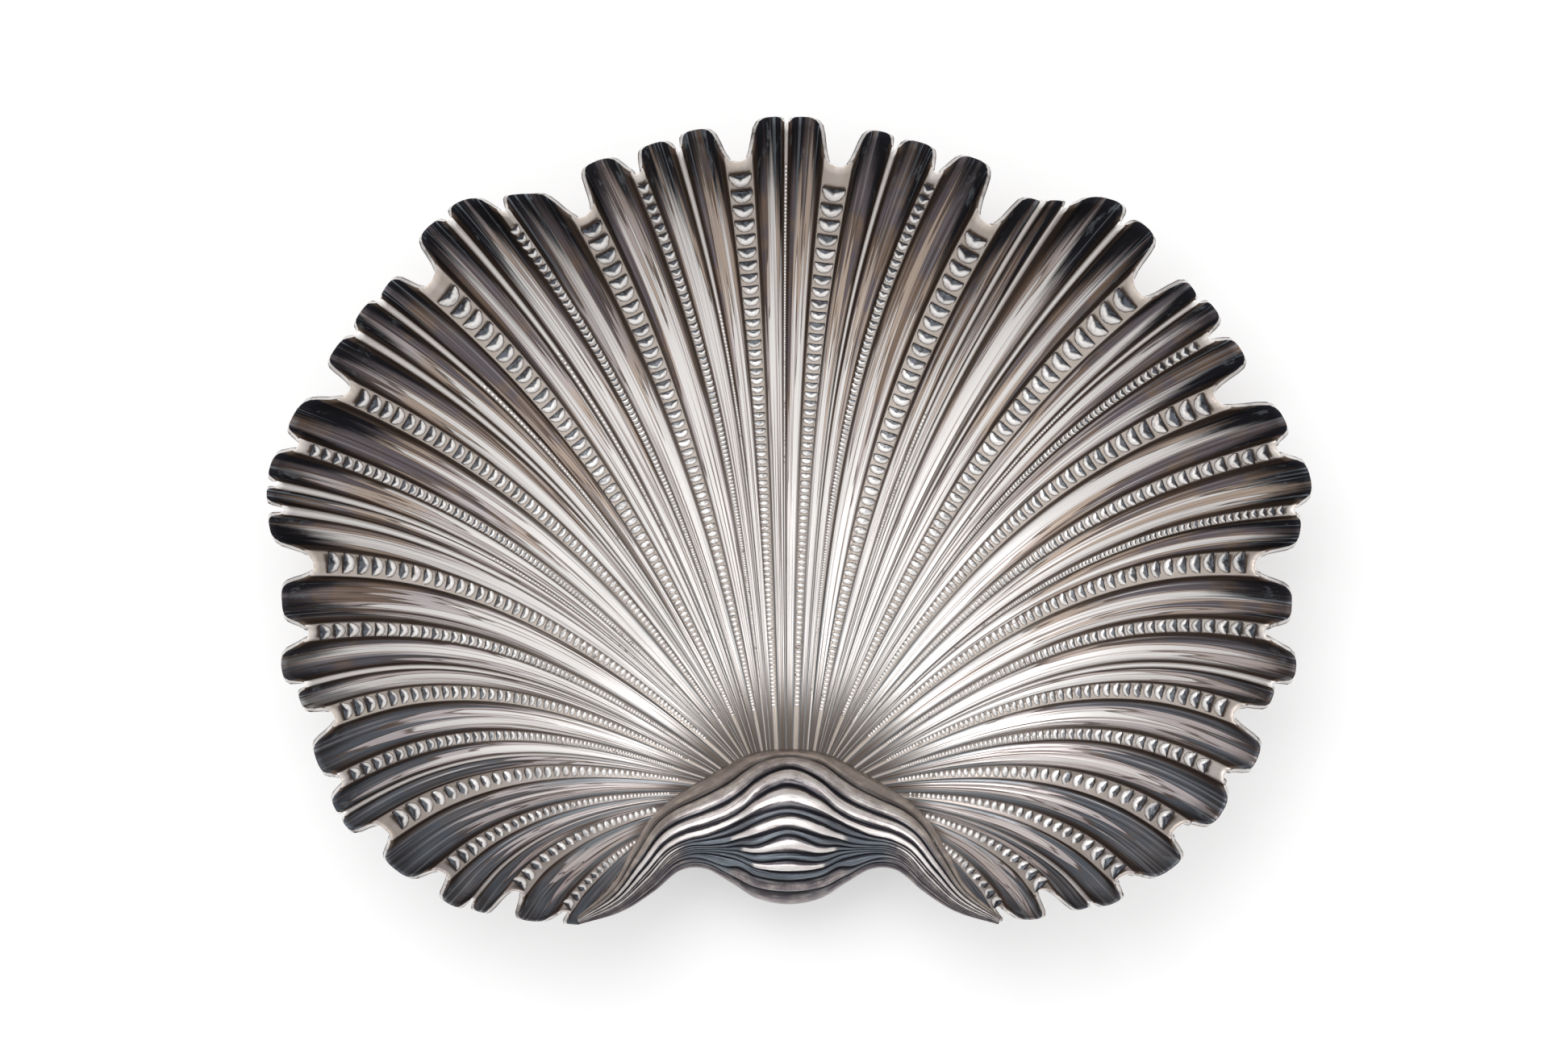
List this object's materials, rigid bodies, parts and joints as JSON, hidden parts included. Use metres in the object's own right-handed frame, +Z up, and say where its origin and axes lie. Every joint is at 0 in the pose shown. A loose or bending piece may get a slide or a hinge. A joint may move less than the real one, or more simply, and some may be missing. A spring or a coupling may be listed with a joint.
{
  "type": "shell dish",
  "caption": "Cast silver serving dish shaped as an open cockle shell, with beaded ribs, a scalloped rim and a rolled beak fold.",
  "frame": {"origin": "middle of the flat oval foot, on the surface that the dish stands on", "axes": "+Z up out of the open bowl, +X across the dish to its right, and -Y towards the beak fold at the front"},
  "size_m": [0.3026, 0.2342, 0.06],
  "materials": {
    "silver": "cast sterling silver, bright on the ribs and darkened by age in the flutes"
  },
  "bodies": {
    "root": {"shell_dish": "silver"}
  },
  "joints": []
}
